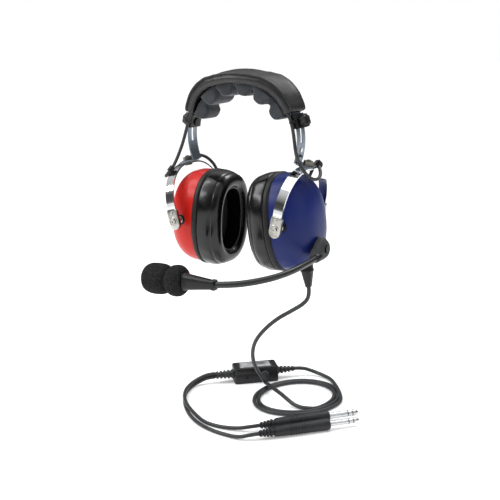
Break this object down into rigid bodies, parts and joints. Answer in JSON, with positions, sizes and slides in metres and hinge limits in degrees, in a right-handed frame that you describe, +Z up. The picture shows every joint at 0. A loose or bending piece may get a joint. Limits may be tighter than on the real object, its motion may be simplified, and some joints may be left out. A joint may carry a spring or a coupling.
{
  "type": "aviation headset",
  "caption": "Over-ear aviation headset with padded sprung headband, sliding arms, chrome yokes, sealed ear cups, boom microphone, control box and twin plugs",
  "frame": {"origin": "centre of the wearer's head, midway between the ear cups on the ear axis", "axes": "+Z up, -Y the way the wearer faces, +X the wearer's left (boom and cord side)"},
  "size_m": [0.2147, 0.2341, 0.35],
  "materials": {
    "cover_leather": "satin stitched black leatherette",
    "pad_cloth": "dark grey knitted cloth over foam",
    "strap_steel": "brushed spring steel",
    "chrome": "polished chrome plate",
    "fittings": "cast, plated",
    "black_plastic": "moulded satin black",
    "red_shell": "moulded glossy red",
    "blue_shell": "moulded satin navy",
    "seal_leather": "glossy black leatherette",
    "foam": "open-cell black foam",
    "boom_sleeve": "black sleeve",
    "cord_pvc": "dark grey cord jacket",
    "label_silver": "satin plate",
    "plug_nickel": "nickel plate",
    "capsule": "pressed can",
    "board": "glass epoxy"
  },
  "bodies": {
    "headband": {"box_board": "board", "box_label": "label_silver", "box_reliefs": "cord_pvc", "box_shell_lower": "black_plastic", "box_shell_upper": "black_plastic", "clamp_block_left": "black_plastic", "clamp_block_right": "black_plastic", "clamp_screw_left": "fittings", "clamp_screw_right": "fittings", "cord_box_lead": "cord_pvc", "cord_coil": "cord_pvc", "cord_drop": "cord_pvc", "crossover_lead_band": "cord_pvc", "crossover_lead_left": "cord_pvc", "crossover_lead_right": "cord_pvc", "headband_cover": "cover_leather", "headband_pad": "pad_cloth", "headband_spring": "strap_steel", "mic_lead": "cord_pvc", "mic_plug_handle": "cord_pvc", "mic_plug_pin": "plug_nickel", "phone_lead": "cord_pvc", "phone_plug_handle": "cord_pvc", "phone_plug_pin": "plug_nickel"},
    "knob_left": {"clamp_knob_left": "black_plastic"},
    "knob_right": {"clamp_knob_right": "black_plastic"},
    "arm_left": {"arm_left": "strap_steel", "arm_rivets_left": "fittings", "swivel_bolt_left": "fittings"},
    "arm_right": {"arm_right": "strap_steel", "arm_rivets_right": "fittings", "swivel_bolt_right": "fittings"},
    "yoke_left": {"yoke_left": "chrome", "yoke_ends_left": "fittings", "lead_clip_left": "black_plastic"},
    "yoke_right": {"yoke_right": "chrome", "yoke_ends_right": "fittings", "lead_clip_right": "black_plastic"},
    "cup_left": {"cup_shell_left": "blue_shell", "backing_ring_left": "black_plastic", "ear_seal_left": "seal_leather", "speaker_left": "black_plastic", "speaker_mesh_left": "foam", "cup_liner_left": "foam", "boom_boss": "black_plastic", "boom_bolt": "fittings", "cord_gland": "cord_pvc"},
    "cup_right": {"cup_shell_right": "red_shell", "backing_ring_right": "black_plastic", "ear_seal_right": "seal_leather", "speaker_right": "black_plastic", "speaker_mesh_right": "foam", "cup_liner_right": "foam"},
    "boom": {"boom_housing": "black_plastic", "boom_tube": "boom_sleeve", "boom_flex": "boom_sleeve"},
    "mic_head": {"mic_body": "black_plastic", "mic_capsule": "capsule", "windscreen": "foam"},
    "volume_dial": {"volume_dial": "black_plastic"}
  },
  "joints": [
    {"name": "knob_left_turn", "type": "hinge", "parent": "headband", "child": "knob_left", "pos_m": [0.06525, 0, 0.09888], "axis": [0.9681, 0, 0.2504], "range_deg": [-270, 0]},
    {"name": "arm_left_slide", "type": "hinge", "parent": "headband", "child": "arm_left", "pos_m": [0, 0, 0.082], "axis": [0, -1, 0], "range_deg": [0, 16], "deforming": ["crossover_lead_left", "cord_drop"]},
    {"name": "yoke_left_swivel", "type": "hinge", "parent": "arm_left", "child": "yoke_left", "pos_m": [0.07081, 0, 0.05372], "axis": [0.2147, 0, 0.9767], "range_deg": [-10, 10], "deforming": ["crossover_lead_left", "cord_drop"]},
    {"name": "cup_left_tilt", "type": "hinge", "parent": "yoke_left", "child": "cup_left", "pos_m": [0.059, 0, 0], "axis": [0, 1, 0], "range_deg": [-6, 10], "deforming": ["crossover_lead_left", "cord_drop"]},
    {"name": "knob_right_turn", "type": "hinge", "parent": "headband", "child": "knob_right", "pos_m": [-0.06525, 0, 0.09888], "axis": [-0.9681, 0, 0.2504], "range_deg": [-270, 0]},
    {"name": "arm_right_slide", "type": "hinge", "parent": "headband", "child": "arm_right", "pos_m": [0, 0, 0.082], "axis": [0, 1, 0], "range_deg": [0, 16], "deforming": ["crossover_lead_right"]},
    {"name": "yoke_right_swivel", "type": "hinge", "parent": "arm_right", "child": "yoke_right", "pos_m": [-0.07081, 0, 0.05372], "axis": [-0.2147, 0, 0.9767], "range_deg": [-10, 10], "deforming": ["crossover_lead_right"]},
    {"name": "cup_right_tilt", "type": "hinge", "parent": "yoke_right", "child": "cup_right", "pos_m": [-0.059, 0, 0], "axis": [0, -1, 0], "range_deg": [-6, 10], "deforming": ["crossover_lead_right"]},
    {"name": "boom_turn", "type": "hinge", "parent": "cup_left", "child": "boom", "pos_m": [0.084, -0.006, -0.025], "axis": [-1, 0, 0], "range_deg": [-45, 60]},
    {"name": "mic_bend", "type": "hinge", "parent": "boom", "child": "mic_head", "pos_m": [0.06, -0.112, -0.0383], "axis": [0, 0, 1], "range_deg": [-15, 15], "deforming": ["boom_flex"]},
    {"name": "volume_turn", "type": "hinge", "parent": "headband", "child": "volume_dial", "pos_m": [-0.01728, 0.05304, -0.1908], "axis": [0.6481, -0.7615, 0], "range_deg": [-135, 135]}
  ]
}
